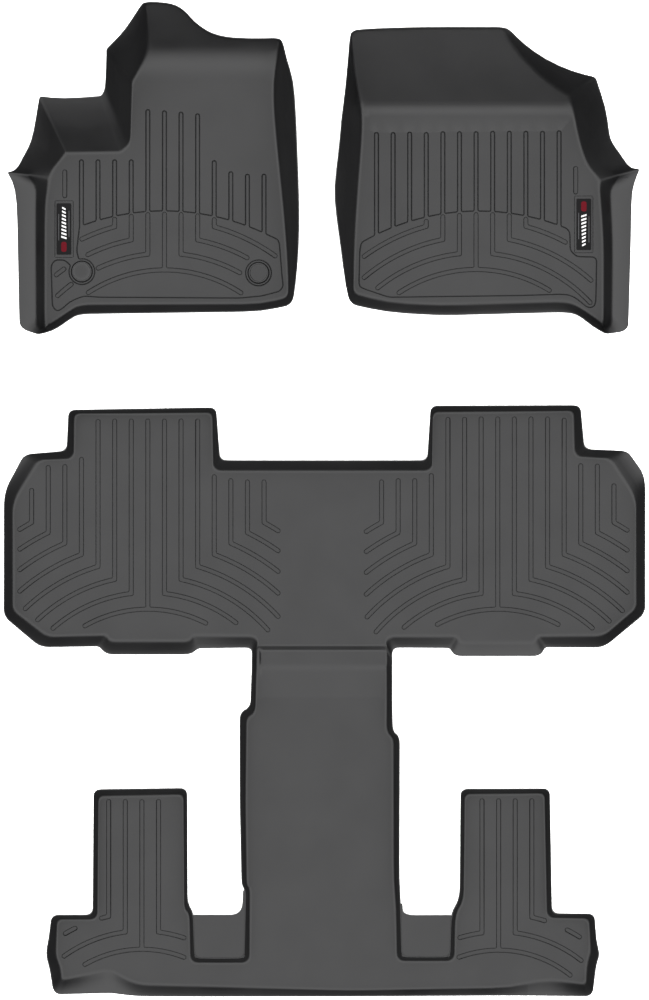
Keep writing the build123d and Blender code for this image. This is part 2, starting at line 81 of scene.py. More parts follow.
# Wall profiles: the knee as its share of the wall's run and height, and how soft the corner is in plan.
STRAIGHT = (0.46, 0.5, 1.0)     # leans out a little more towards its rim
CREASED = (0.49, 0.5, 0.35)     # plane, and turns sharply at this station
FLANGE = (0.27, 0.76, 1.0)      # rises steeply, then lies back over the door sill

# --- wall stations ------------------------------------------------------------------------------
# Each station is a section through the wall: foot x, foot y, rim x, rim y, rim height and its profile.
DRIVER_WALL = [
    # right side, beside the console, from the toe board back
    (-106, 1076, -97, 1078, 66, STRAIGHT),
    (-111, 1036, -87, 1032, 85, STRAIGHT),
    (-119, 990, -71, 980, 112, STRAIGHT),
    (-118, 916, -66, 905, 120, STRAIGHT),
    (-107, 803, -62, 806, 115, STRAIGHT),
    (-96, 698, -58, 690, 105, STRAIGHT),
    (-88, 604, -59, 591, 85, STRAIGHT),
    (-83, 514, -67, 505, 50, STRAIGHT),
    # rear side, in front of the seat
    (-85, 481, -75, 462, 38, STRAIGHT),
    (-147, 465, -146, 446, 36, STRAIGHT),
    (-575, 464, -575, 440, 36, STRAIGHT),
    (-600, 448, -596, 428, 36, STRAIGHT),
    (-640, 420, -633, 401, 38, STRAIGHT),
    # door sill
    (-656, 409, -670, 392, 42, CREASED),
    (-658, 430, -713, 406, 58, FLANGE),
    (-658, 615, -717, 612, 60, FLANGE),
    (-657, 698, -719, 705, 62, FLANGE),
    (-652, 733, -727, 746, 68, FLANGE),
    (-645, 761, -741, 770, 78, CREASED),
    # beside and over the foot rest
    (-636, 785, -719, 774, 84, STRAIGHT),
    (-622, 803, -699, 809, 100, STRAIGHT),
    (-615, 812, -679, 842, 120, STRAIGHT),
    (-607, 820, -661, 942, 140, CREASED),
    (-560, 821, -607, 936, 138, STRAIGHT),
    (-478, 822, -518, 942, 140, CREASED),
    # between the foot rest and the pedals
    (-457, 841, -509, 956, 143, STRAIGHT),
    (-455, 916, -506, 1004, 150, STRAIGHT),
    (-453, 986, -505, 1049, 158, CREASED),
    (-409, 1065, -463, 1093, 150, STRAIGHT),
    (-412, 1137, -425, 1152, 152, CREASED),
]
DRIVER_TOE_EDGE = [
    (-416, 1159.5), (-359, 1158), (-327, 1145), (-298, 1113), (-251, 1088), (-174, 1083), (-108, 1085),
]

PASSENGER_WALL = [
    # left side, beside the console, from the toe board back
    (63, 1071, 57, 1072, 160, CREASED),
    (70, 994, 50, 983, 130, STRAIGHT),
    (83, 939, 43, 924, 118, STRAIGHT),
    (88, 902, 38, 887, 115, STRAIGHT),
    (86, 846, 33, 822, 112, STRAIGHT),
    (79, 752, 21, 732, 105, STRAIGHT),
    (74, 686, 26, 672, 95, STRAIGHT),
    (69, 604, 38, 587, 75, STRAIGHT),
    (67, 521, 49, 502, 50, STRAIGHT),
    # rear side
    (67, 491, 60, 463, 40, STRAIGHT),
    (147, 470, 144, 445, 30, STRAIGHT),
    (271, 464, 270, 437, 28, STRAIGHT),
    (568, 473, 565, 445, 28, STRAIGHT),
    (596, 460, 594, 439, 30, STRAIGHT),
    (638, 430, 629, 409, 38, STRAIGHT),
    # door sill
    (654, 413, 659, 393, 42, CREASED),
    (656, 437, 710, 400, 58, FLANGE),
    (656, 615, 716, 612, 60, FLANGE),
    (650, 698, 717, 698, 62, FLANGE),
    (647, 733, 720, 737, 68, FLANGE),
    (645, 754, 736, 778, 78, CREASED),
    # right side, up to the toe board
    (633, 773, 712, 779, 84, STRAIGHT),
    (617, 792, 690, 809, 98, STRAIGHT),
    (605, 827, 665, 840, 118, STRAIGHT),
    (593, 874, 660, 867, 125, STRAIGHT),
    (584, 926, 654, 913, 130, STRAIGHT),
    (572, 954, 629, 985, 142, CREASED),
    (524, 981, 573, 998, 150, STRAIGHT),
    (475, 1019, 510, 1025, 158, STRAIGHT),
    (440, 1056, 456, 1064, 164, STRAIGHT),
    (418, 1083, 430, 1092, 166, STRAIGHT),
]
PASSENGER_TOE_EDGE = [(413, 1098), (221, 1098), (105, 1095), (62, 1091)]

REAR_WALL = [
    # left tongue, between the front seat's rails
    (-589, 210, -600, 217, 40, STRAIGHT),
    (-262, 212, -253, 223, 40, STRAIGHT),
    (-260, 75, -244, 99, 45, STRAIGHT),
    # front edge over the tunnel, and the right tongue
    (251, 75, 240, 99, 45, STRAIGHT),
    (253, 213, 248, 227, 40, STRAIGHT),
    (586, 216, 600, 228, 40, STRAIGHT),
    (588, 109, 609, 125, 40, STRAIGHT),
    # right door sill
    (669, 103, 710, 121, 34, STRAIGHT),
    (732, 7, 751, 63, 38, STRAIGHT),
    (733, -249, 751, -260, 48, STRAIGHT),
    (657, -313, 654, -341, 34, STRAIGHT),
    # under the right second-row seat
    (501, -313, 518, -340, 26, CREASED),
    (491, -328, 506, -361, 18, STRAIGHT),
    (320, -328, 305, -361, 18, STRAIGHT),
    (311, -313, 293, -342, 24, CREASED),
    # right side of the aisle
    (145, -314, 159, -341, 26, STRAIGHT),
    (148, -466, 159, -475, 40, STRAIGHT),
    (147, -539, 161, -536, 40, STRAIGHT),
    (163, -554, 177, -548, 40, STRAIGHT),
    (164, -889, 176, -885, 40, STRAIGHT),
    (169, -947, 180, -945, SADDLE, STRAIGHT),
    (171, -1076, 182, -1063, SADDLE, STRAIGHT),
    # round the right third-row well
    (304, -1076, 293, -1063, SADDLE, STRAIGHT),
    (306, -965, 295, -962, SADDLE, STRAIGHT),
    (325, -936, 316, -927, 38, STRAIGHT),
    (328, -684, 318, -670, 38, STRAIGHT),
    (518, -682, 528, -669, 38, STRAIGHT),
    (524, -974, 533, -962, 38, STRAIGHT),
    (622, -976, 633, -962, 38, STRAIGHT),
    (626, -1039, 637, -1028, 38, STRAIGHT),
    (625, -1058, 646, -1058, 38, STRAIGHT),
    (617, -1081, 637, -1080, 38, STRAIGHT),
    # back edge
    (615, -1133, 628, -1157, 40, STRAIGHT),
    (518, -1117, 517, -1157, 25, STRAIGHT),
    (436, -1138, 435, -1157, 22, STRAIGHT),
    (60, -1145, 60, -1159.5, 18, STRAIGHT),
    (-293, -1135, -292, -1159, 26, STRAIGHT),
    (-445, -1131, -444, -1158, 28, STRAIGHT),
    (-504, -1095, -500, -1150, 28, STRAIGHT),
    (-617, -1121, -635, -1153, 36, STRAIGHT),
    # round the left third-row well
    (-620, -1091, -644, -1091, 40, STRAIGHT),
    (-631, -1067, -654, -1056, 38, STRAIGHT),
    (-631, -1037, -646, -1021, 38, STRAIGHT),
    (-629, -978, -640, -965, 38, STRAIGHT),
    (-535, -978, -543, -965, 38, STRAIGHT),
    (-532, -689, -541, -671, 38, STRAIGHT),
    (-330, -685, -321, -668, 38, STRAIGHT),
    (-328, -954, -320, -937, 38, STRAIGHT),
    (-316, -966, -306, -963, SADDLE, STRAIGHT),
    (-314, -1080, -303, -1066, SADDLE, STRAIGHT),
    # left side of the aisle
    (-177, -1080, -189, -1066, SADDLE, STRAIGHT),
    (-176, -907, -187, -908, SADDLE, STRAIGHT),
    (-184, -900, -195, -895, 38, STRAIGHT),
    (-187, -701, -199, -698, 40, STRAIGHT),
    (-184, -506, -199, -491, 40, STRAIGHT),
    (-164, -494, -174, -478, 40, STRAIGHT),
    (-161, -383, -171, -382, 40, STRAIGHT),
    (-157, -314, -170, -341, 28, STRAIGHT),
    # under the left second-row seat
    (-308, -311, -296, -343, 24, CREASED),
    (-318, -326, -313, -357, 34, STRAIGHT),
    (-503, -326, -511, -357, 34, STRAIGHT),
    (-513, -311, -529, -338, 30, CREASED),
    (-650, -316, -666, -340, 36, STRAIGHT),
    # left door sill
    (-733, -254, -751, -267, 48, STRAIGHT),
    (-733, 0, -751, 25, 38, STRAIGHT),
    (-669, 100, -704, 113, 32, STRAIGHT),
    (-590, 104, -604, 121, 40, STRAIGHT),
]

# --- heights of the floors ----------------------------------------------------------------------
def toe_rise(y, start, radius, slope):
    """Height of a toe board above the floor at y: an arc from start, then a straight ramp."""
    beyond = y - start
    arc_run = radius * sin(slope)
    if beyond <= 0:
        return 0.0
    if beyond <= arc_run:
        return radius - sqrt(radius ** 2 - beyond ** 2)
    return radius * (1 - cos(slope)) + (beyond - arc_run) * tan(slope)


DRIVER_TOE_START = 980      # where each toe board begins to rise
PASSENGER_TOE_START = 900


def driver_rise(x, y):
    return toe_rise(y, start=DRIVER_TOE_START, radius=120, slope=radians(48))


def passenger_rise(x, y):
    return toe_rise(y, start=PASSENGER_TOE_START, radius=50, slope=radians(42.25))


AISLE_HALF = 250            # the step lies between the walls of the aisle
AISLE_STEP = [(-460, 0.0), (-392, 8.5), (-381, 12.0), (-348, 11.5), (-335.5, 0.0)]     # y and height


def rear_rise(x, y):
    if abs(x) > AISLE_HALF:
        return 0.0
    ys, heights = zip(*AISLE_STEP)
    return float(np.interp(y, ys, heights))


# --- plan outlines ------------------------------------------------------------------------------
def turn_at(before, here, after):
    """Angle by which a line through three plan points turns."""
    first = here - before
    second = after - here
    lengths = np.hypot(*first) * np.hypot(*second)
    if lengths == 0:
        return 0.0
    return acos(max(-1.0, min(1.0, float(first @ second) / lengths)))


def corner_cut(turn):
    """How much of the outline a corner's rounding takes: more at a slight bend than at a sharp one."""
    share = (degrees(turn) - 20) / 25
    return GENTLE_CUT + (SHARP_CUT - GENTLE_CUT) * max(0.0, min(1.0, share))


def rounded_loop(corners, cuts=None, spacing=None, plans=((0, 1),), softness=None, fineness=radians(8)):
    """Closed loop through corners, each rounded by a quadratic curve that starts its cut away from it.

    plans are the pairs of columns that are plan positions: their mean length counts along a side.
    Without cuts, a corner's cut follows from its turn and its softness.
    """
    corners = [np.array(corner, float) for corner in corners]
    count = len(corners)
    sides = []
    turns = []
    for i, here in enumerate(corners):
        after = corners[(i + 1) % count]
        sides.append(np.mean([np.hypot(*(after - here)[list(plan)]) for plan in plans]))
        around = [corners[i - 1], here, after]
        turns.append(max(turn_at(*[point[list(plan)] for point in around]) for plan in plans))
    loop = []
    for i, here in enumerate(corners):
        cut = corner_cut(turns[i]) * softness[i] if cuts is None else cuts[i]
        before = corners[i - 1]
        after = corners[(i + 1) % count]
        start = here + (before - here) * min(0.5, cut / max(sides[i - 1], 1e-6))
        end = here + (after - here) * min(0.5, cut / max(sides[i], 1e-6))
        if loop and spacing:
            loop += divided(loop[-1], start, spacing)
        if cut == 0:
            loop.append(here)
            continue
        steps = max(2, ceil(turns[i] / fineness))
        for step in range(steps + 1):
            t = step / steps
            loop.append(start * (1 - t) ** 2 + here * 2 * t * (1 - t) + end * t ** 2)
    if spacing:
        loop += divided(loop[-1], loop[0], spacing)
    return without_repeats(loop)


def divided(start, end, spacing):
    """Points between two others, no further apart than spacing(x, y) asks for along the way."""
    asked = min(spacing(*(start + (end - start) * t)[:2]) for t in np.linspace(0, 1, 6))
    parts = ceil(np.hypot(*(end - start)[:2]) / asked)
    return [start + (end - start) * part / parts for part in range(1, parts)]


def without_repeats(loop):
    """A closed loop without points that lie on the one before."""
    kept = [point for i, point in enumerate(loop) if np.abs(point - loop[i - 1]).max() > 0.02]
    return np.array(kept)


def arc(centre, radius, start, end, parts):
    """Points along an arc, both ends included; angles in radians from +x."""
    return [(centre[0] + radius * cos(angle), centre[1] + radius * sin(angle))
            for angle in np.linspace(start, end, parts + 1)]


def offset_loop(loop, distance):
    """A counter-clockwise loop moved outwards by distance, point by point."""
    ahead = np.roll(loop, -1, axis=0) - loop
    behind = loop - np.roll(loop, 1, axis=0)
    ahead /= np.linalg.norm(ahead, axis=1)[:, None]
    behind /= np.linalg.norm(behind, axis=1)[:, None]
    along = ahead + behind
    along /= np.linalg.norm(along, axis=1)[:, None]
    outward = np.stack([along[:, 1], -along[:, 0]], axis=1)
    stretch = 1 / np.maximum(0.5, np.sum(ahead * along, axis=1))
    return loop + outward * (distance * stretch)[:, None]


def signed_area(loop):
    """Positive for a counter-clockwise loop."""
    x, y = loop[:, 0], loop[:, 1]
    return np.sum(x * np.roll(y, -1) - y * np.roll(x, -1)) / 2


def counter_clockwise(loop):
    return loop if signed_area(loop) > 0 else loop[::-1]


def edge_loops(loop, top, drop, profile=EDGE_PROFILE, inside_is_low=True):
    """Matched loops across the rounded edge of a lowered area: each is (plan points, height)."""
    loop = counter_clockwise(np.array(loop, float))
    side = 1 if inside_is_low else -1
    return [(offset_loop(loop, side * outside), top - share * drop) for outside, share in profile]


# --- channels -----------------------------------------------------------------------------------
class ChannelGroup:
    """Channels about one axis.

    The channel n pitches from the axis runs straight back from tops[n], and then turns outwards along
    an arc. The arcs share a centre on the axis, grow by ring_pitch, and stop at a distance from it.
    """

    def __init__(self, axis, first_radius, ring_pitch, tops, left_ends, right_ends):
        self.axis_x, self.centre_y = axis
        self.first_radius = first_radius
        self.ring_pitch = ring_pitch
        self.tops = tops
        self.ends = {-1: left_ends, 1: right_ends}

    def radius(self, number):
        return self.first_radius + abs(number) * self.ring_pitch

    def arc_end(self, number, side):
        """Distance from the axis at which the channel's arc stops, or None for a channel with no arc."""
        ends = self.ends[side]
        return ends[abs(number)] if abs(number) < len(ends) else None

    def arm(self, number, side):
        """Half of an outline: from the channel's top, down its outer side, round the arc and back."""
        near = abs(number) * CHANNEL_PITCH - CHANNEL_HALF
        far = abs(number) * CHANNEL_PITCH + CHANNEL_HALF
        radius = self.radius(number)
        outer = radius + CHANNEL_HALF
        inner = radius - CHANNEL_HALF
        last = asin(self.arc_end(number, side) / radius)
        points = [(far, sqrt(outer ** 2 - far ** 2), CHANNEL_INNER_CORNER)]
        first = asin(far / outer)
        parts = max(1, ceil(radius * (last - first) / ARC_SPACING))
        points += [(outer * sin(a), outer * cos(a), 0) for a in np.linspace(first, last, parts + 1)[1:]]
        cap = (radius * sin(last), radius * cos(last))
        points += [(x, y, 0) for x, y in arc(cap, CHANNEL_HALF, pi / 2 - last, -pi / 2 - last, 8)[1:-1]]
        turn = asin(max(0.0, near) / inner)
        parts = max(1, ceil(radius * (last - turn) / ARC_SPACING))
        points += [(inner * sin(a), inner * cos(a), 0) for a in np.linspace(last, turn, parts + 1)[:-1]]
        if number:
            points.append((near, sqrt(inner ** 2 - near ** 2), CHANNEL_OUTER_CORNER))
        return points

    def outline(self, number):
        """Closed outline of one channel: a straight one, an L or, on the axis, a T."""
        side = -1 if number < 0 else 1
        reach = abs(number) * CHANNEL_PITCH
        top = self.tops[number] - self.centre_y
        cap = [(x, y, 0) for x, y in arc((reach, top), CHANNEL_HALF, pi, 0, 8)]
        if number == 0:
            right = self.arm(0, 1)
            left = [(-x, y, cut) for x, y, cut in reversed(self.arm(0, -1))]
            points = cap + right + left
        elif self.arc_end(number, side) is None:
            bottom = sqrt(self.radius(number) ** 2 - reach ** 2)
            points = cap + [(x, y, 0) for x, y in arc((reach, bottom), CHANNEL_HALF, 0, -pi, 8)]
        else:
            points = cap + self.arm(number, side)
        corners = [(self.axis_x + side * x, self.centre_y + y) for x, y, cut in points]
        return rounded_loop(corners, cuts=[cut for x, y, cut in points], fineness=radians(30))

    def outlines(self):
        return [self.outline(number) for number in self.tops]

    def short_arc(self, number, side, start, end):
        """Outline of a piece of an arc between two distances from the axis."""
        radius = self.radius(number)
        first = asin(start / radius)
        last = asin(end / radius)
        parts = max(1, ceil(radius * (last - first) / ARC_SPACING))
        outer = arc((0, 0), radius + CHANNEL_HALF, pi / 2 - first, pi / 2 - last, parts)
        far_end = (radius * sin(last), radius * cos(last))
        far_cap = arc(far_end, CHANNEL_HALF, pi / 2 - last, -pi / 2 - last, 8)
        inner = arc((0, 0), radius - CHANNEL_HALF, pi / 2 - last, pi / 2 - first, parts)
        near_cap = arc((radius * sin(first), radius * cos(first)), CHANNEL_HALF,
                       -pi / 2 - first, -3 * pi / 2 - first, 8)
        points = outer + far_cap[1:-1] + inner + near_cap[1:-1]
        return np.array([(self.axis_x + side * x, self.centre_y + y) for x, y in points])


def straight_outline(x, top, bottom):
    """Outline of a straight channel."""
    return np.array(arc((x, top), CHANNEL_HALF, pi, 0, 8) + arc((x, bottom), CHANNEL_HALF, 0, -pi, 8))


SECOND_ROW_RINGS = (299, CHANNEL_PITCH)             # first arc's radius, and from one arc to the next
LEFT_SECOND_ROW = ChannelGroup(
    (-415, -550), *SECOND_ROW_RINGS,
    tops={-7: 28, -6: 82, -5: 84, -4: 101, -3: 190, -2: 191, -1: 191, 0: 191,
          1: 191, 2: 191, 3: 191, 4: 60, 5: 51, 6: 48, 7: 48},
    left_ends=[148, 223, 259, 288, 301, 301, 301, 301],
    right_ends=[136, 207, 282, 306, 306, 306, 306, 306])
RIGHT_SECOND_ROW = ChannelGroup(
    (407, -550), *SECOND_ROW_RINGS,
    tops={-7: 48, -6: 51, -5: 51, -4: 63, -3: 195, -2: 195, -1: 196, 0: 196,
          1: 196, 2: 196, 3: 196, 4: 193, 5: 86, 6: 85, 7: 39},
    left_ends=[142, 220, 286, 307, 309, 309, 309, 309],
    right_ends=[142, 222, 262, 293, 304, 304, 304, 304])
THIRD_ROW_RINGS = (270, 43)
LEFT_THIRD_ROW = ChannelGroup(
    (-429, -1320), *THIRD_ROW_RINGS,
    tops={-2: -703, -1: -703, 0: -703, 1: -703},
    left_ends=[134, 183, 95], right_ends=[99, 99])
RIGHT_THIRD_ROW = ChannelGroup(
    (409, -1322), *THIRD_ROW_RINGS,
    tops={-1: -701, 0: -701, 1: -701, 2: -701},
    left_ends=[93, 91], right_ends=[168, 194, 108])

FRONT_RINGS = (327, CHANNEL_PITCH)
DRIVER_AXIS = -376
DRIVER_CHANNELS = ChannelGroup(
    (DRIVER_AXIS, 219), *FRONT_RINGS,
    tops={-3: 665, -2: 672, -1: 676, 0: 677, 1: 676, 2: 673, 3: 664},
    left_ends=[179, 156, 180, 194], right_ends=[180, 177, 194, 260])
DRIVER_UPPER_TOPS = {-6: 776, -5: 800, -4: 800, -3: 800, -2: 800, -1: 918, 0: 915, 1: 912, 2: 908,
                     3: 798, 4: 772, 5: 766, 6: 766}
PASSENGER_AXIS = 356
PASSENGER_CHANNELS = ChannelGroup(
    (PASSENGER_AXIS, 220), *FRONT_RINGS,
    tops={-3: 660, -2: 671, -1: 674, 0: 676, 1: 676, 2: 673, 3: 665},
    left_ends=[181, 231, 263, 263], right_ends=[172, 268, 270, 210])
PASSENGER_UPPER_TOPS = {-6: 864, -5: 864, -4: 865, -3: 864, -2: 866, -1: 866, 0: 866, 1: 867, 2: 867,
                        3: 867, 4: 867, 5: 868, 6: 784}

RETAINERS = {"left": (-570, 542), "right": (-155, 539)}
RETAINER_HOLE = 12.0
CAP_PROUD = 2.4             # how far a cap stands above the floor
BOSS_RADIUS = 29.5          # of the level disc round a retainer that the reservoir leaves standing
SEAT_RADIUS = 25.9          # of the shallow seat for its cap
SEAT_DEPTH = 1.5

# --- front reservoirs: outline of the lower part of each floor ----------------------------------
DRIVER_RESERVOIR_ARC = [(-577, 648), (-356, 685), (-133, 629)]
DRIVER_RESERVOIR_REST = [
    (-109, 618), (-105, 608), (-99, 533), (-96, 507), (-105, 495), (-147, 484),
    (-199, 479), (-528, 481), (-563, 484), (-579, 479), (-598, 470), (-617, 453), (-629, 448),
    (-640, 460), (-643, 557), (-633, 570), (-610, 570),
]
DRIVER_NOTCH_END = (-583, 590)              # past the notch round the left retainer
PASSENGER_RESERVOIR_ARC = [(86, 611), (366, 685), (570, 644)]
PASSENGER_RESERVOIR_REST = [
    (577, 634), (578, 592), (593, 578), (633, 577), (640, 571), (639, 510), (638, 470),
    (634, 460), (624, 456), (615, 459), (589, 480), (572, 487), (553, 488), (459, 485), (154, 481),
    (142, 484), (95, 500), (83, 505), (80, 514), (82, 592),
]
RESERVOIR_CUT = 7.0
MOUTH_CUT = 3.0             # rounding where a channel opens into a reservoir
NOTCH_CUT = 5.0             # and where a boss stands in its edge
NOTCH_CLEAR = radians(20)   # left free for that rounding
NEXT_TO = 8.0               # a channel's side this near the arc's end takes its place


def circle_through(first, second, third):
    """Centre and radius of the circle through three plan points."""
    (ax, ay), (bx, by), (cx, cy) = first, second, third
    twice_area = 2 * (ax * (by - cy) + bx * (cy - ay) + cx * (ay - by))
    x = ((ax ** 2 + ay ** 2) * (by - cy) + (bx ** 2 + by ** 2) * (cy - ay)
         + (cx ** 2 + cy ** 2) * (ay - by)) / twice_area
    y = ((ax ** 2 + ay ** 2) * (cx - bx) + (bx ** 2 + by ** 2) * (ax - cx)
         + (cx ** 2 + cy ** 2) * (bx - ax)) / twice_area
    return (x, y), hypot(ax - x, ay - y)


def cornered(corners):
    return [(x, y, RESERVOIR_CUT) for x, y in corners]


def notch(centre, start, end):
    """The part of a reservoir's outline that leaves out a retainer's boss."""
    first, last = arc(centre, BOSS_RADIUS, start, end, 1)
    between = arc(centre, BOSS_RADIUS, start + NOTCH_CLEAR, end - NOTCH_CLEAR, 36)
    return [(*first, NOTCH_CUT), *[(*point, 0) for point in between], (*last, NOTCH_CUT)]


def reservoir_outline(ends, rest, axis_x, upper_tops):
    """Outline of a reservoir with the channels of the upper floor that open into it."""
    (centre_x, centre_y), radius = circle_through(*ends)
    left, right = ends[0][0], ends[2][0]

    def on_arc(x):
        return (x, centre_y + sqrt(radius ** 2 - (x - centre_x) ** 2))

    points = []
    reached = left
    for number in sorted(upper_tops):
        x = axis_x + number * CHANNEL_PITCH
        if not left < x < right:
            continue
        side_a, side_b = x - CHANNEL_HALF, x + CHANNEL_HALF
        if side_a - left > NEXT_TO:
            parts = ceil((side_a - reached) / (2 * ARC_SPACING))
            if reached == left:
                points.append((*ends[0], RESERVOIR_CUT))
            points += [(*on_arc(at), 0) for at in np.linspace(reached, side_a, parts + 1)[1:-1]]
        points.append((*on_arc(side_a), MOUTH_CUT))
        points += [(*at, 0) for at in arc((x, upper_tops[number]), CHANNEL_HALF, pi, 0, 8)]
        points.append((*on_arc(side_b), MOUTH_CUT))
        reached = side_b
    if right - reached > NEXT_TO:
        parts = ceil((right - reached) / (2 * ARC_SPACING))
        points += [(*on_arc(at), 0) for at in np.linspace(reached, right, parts + 1)[1:-1]]
        points.append((*ends[2], RESERVOIR_CUT))
    points += rest
    return rounded_loop([(x, y) for x, y, cut in points], cuts=[cut for x, y, cut in points],
                        fineness=radians(15))


# --- walls --------------------------------------------------------------------------------------
FILLET_PARTS = 6
KNEE_PARTS = 4
LIP_PARTS = 6


def bend(start, corner, end, parts):
    """Points of a quadratic curve, both ends included."""
    return [start * (1 - t) ** 2 + corner * 2 * t * (1 - t) + end * t ** 2
            for t in np.linspace(0, 1, parts + 1)]


def towards(start, end, distance):
    """The point at a distance from start on the way to end, and at most nearly half way."""
    length = np.linalg.norm(end - start)
    return start + (end - start) * min(0.45, distance / length)


def wall_section(station, floor_top, rise, fillet):
    """Points across the wall: up from the floor, over the rim and down again, as (out, up) pairs."""
    foot_x, foot_y, rim_x, rim_y, rim_z, knee_run, knee_rise = station
    run = hypot(rim_x - foot_x, rim_y - foot_y)
    out_x, out_y = (rim_x - foot_x) / run, (rim_y - foot_y) / run
    foot = np.array([0.0, floor_top + rise(foot_x, foot_y)])
    outer_rim = np.array([run, rim_z])
    knee = foot + (outer_rim - foot) * [knee_run, knee_rise]
    upper = (outer_rim - knee) / np.linalg.norm(outer_rim - knee)
    outward = np.array([upper[1], -upper[0]])
    rim = outer_rim - outward * RIM_SHEET
    knee = foot + (rim - foot) * [knee_run, knee_rise]

    start_x, start_y = foot_x - out_x * fillet, foot_y - out_y * fillet
    start = np.array([-fillet, floor_top + rise(start_x, start_y)])
    inside = bend(start, foot, towards(foot, knee, fillet), FILLET_PARTS)
    inside += bend(towards(knee, foot, KNEE_FILLET), knee, towards(knee, rim, KNEE_FILLET), KNEE_PARTS)
    inside.append(rim - upper * RIM_SHEET / 2)
    inside = np.array(inside)

    along = np.gradient(inside, axis=0)
    along /= np.linalg.norm(along, axis=1)[:, None]
    outwards = np.stack([along[:, 1], -along[:, 0]], axis=1)
    outwards[0] = (0, -1)
    sheet = np.linspace(FLOOR_SHEET, RIM_SHEET, len(inside))
    outside = inside + outwards * sheet[:, None]

    lip = []
    middle = (inside[-1] + outside[-1]) / 2
    across = (outside[-1] - inside[-1]) / 2
    over = np.array([-across[1], across[0]])
    for angle in np.linspace(0, pi, LIP_PARTS + 1)[1:-1]:
        lip.append(middle - across * cos(angle) + over * sin(angle))
    return np.array([*inside, *lip, *outside[::-1]]), (out_x, out_y)


def wall_grid(stations, floor_top, rise, spacing):
    """Positions of the wall's vertices, [station][across], round the whole liner."""
    numbers = [(*station[:5], *station[5][:2]) for station in stations]
    softness = [station[5][2] for station in stations]
    rounded = rounded_loop(numbers, spacing=spacing, plans=((0, 1), (2, 3)), softness=softness)
    fillets = np.full(len(rounded), FOOT_FILLET)
    feet = rounded[:, :2]
    outwards = rounded[:, 2:4] - feet
    outwards /= np.linalg.norm(outwards, axis=1)[:, None]
    steps = np.roll(feet, -1, axis=0) - feet
    for _ in range(40):                     # no fillet reaches past the centre of a tight corner
        starts = feet - outwards * fillets[:, None]
        kept = np.sum((np.roll(starts, -1, axis=0) - starts) * steps, axis=1) / np.sum(steps ** 2, axis=1)
        folded = kept < 0.3
        if not folded.any():
            break
        fillets[folded | np.roll(folded, 1)] *= 0.85
    for _ in range(3):
        near = np.minimum(np.roll(fillets, 1), np.roll(fillets, -1))
        fillets = np.minimum(fillets, (fillets + near) / 2)
    grid = []
    for station, fillet in zip(rounded, fillets):
        section, (out_x, out_y) = wall_section(station, floor_top, rise, fillet)
        grid.append([(station[0] + out * out_x, station[1] + out * out_y, up) for out, up in section])
    if signed_area(feet) > 0:
        grid.reverse()
    return np.array(grid)


# --- liners -------------------------------------------------------------------------------------
def inside_loop(points, loop):
    """Which plan points lie inside a closed loop."""
    inside = np.zeros(len(points), bool)
    for (ax, ay), (bx, by) in zip(loop, np.roll(loop, -1, axis=0)):
        spans = (ay > points[:, 1]) != (by > points[:, 1])
        if ay != by:
            inside ^= spans & (points[:, 0] < ax + (points[:, 1] - ay) * (bx - ax) / (by - ay))
    return inside


def field_points(boundary, rows, pitch, clear=7.0):
    """Plan points on rows of constant y inside a boundary, and clear of it."""
    xs = np.arange(boundary[:, 0].min(), boundary[:, 0].max(), pitch)
    points = np.array([(x, y) for y in rows for x in xs])
    points = points[inside_loop(points, boundary)]
    nearest = np.array([np.hypot(*(boundary - point).T).min() for point in points])
    return points[nearest > clear]


def liner_mesh(name, grid, floor_top, rise, loops, field, holes):
    """Closed mesh of a liner: its wall grid, and a floor whose features are loops at given heights."""
    count, across = grid.shape[:2]
    boundary = grid[:, 0]
    plan = [Vector(point[:2]) for point in boundary]
    heights = list(boundary[:, 2])
    edges = [(i, (i + 1) % count) for i in range(count)]
    hole_loops = []
    for loop, height in [*loops, *holes]:
        first = len(plan)
        plan += [Vector(point) for point in loop]
        heights += [height + rise(*point) for point in loop]
        edges += [(first + i, first + (i + 1) % len(loop)) for i in range(len(loop))]
        if any(loop is hole for hole, _ in holes):
            hole_loops.append(range(first, first + len(loop)))
    plan += [Vector(point) for point in field]
    heights += [floor_top + rise(*point) for point in field]
    made, _, triangles, sources, _, _ = geometry.delaunay_2d_cdt(plan, edges, [], 1, 1e-5)

    vertices = [tuple(point) for row in grid for point in row]
    upper, lower = {}, {}
    for new, source in enumerate(sources):
        if source and source[0] < count:
            upper[new] = source[0] * across
            lower[new] = source[0] * across + across - 1
            continue
        if not source:
            raise ValueError(f"two outlines of {name} cross near {tuple(made[new])}")
        x, y = made[new]
        upper[new] = len(vertices)
        vertices.append((x, y, heights[source[0]]))
        lower[new] = len(vertices)
        vertices.append((x, y, max(UNDERSIDE, heights[source[0]] - FLOOR_SHEET)))

    faces = []
    hole_sets = [set(hole) for hole in hole_loops]
    source_of = [source[0] for source in sources]
    for triangle in triangles:
        corners = {source_of[corner] for corner in triangle}
        if any(corners <= hole for hole in hole_sets):
            continue
        a, b, c = (made[corner] for corner in triangle)
        if (b - a).cross(c - a) < 0:
            triangle = triangle[::-1]
        faces.append([upper[corner] for corner in triangle])
        faces.append([lower[corner] for corner in reversed(triangle)])
    new_of = {source[0]: new for new, source in enumerate(sources)}
    for hole in hole_loops:
        ring = [new_of[source] for source in hole]
        for a, b in zip(ring, ring[1:] + ring[:1]):
            faces.append([upper[a], upper[b], lower[b], lower[a]])
    for i in range(count):
        j = (i + 1) % count
        for k in range(across - 1):
            faces.append([i * across + k, j * across + k, j * across + k + 1, i * across + k + 1])

    mesh = bpy.data.meshes.new(name)
    mesh.from_pydata([Vector(vertex) * MM for vertex in vertices], [], faces)
    mesh.update()
    return mesh


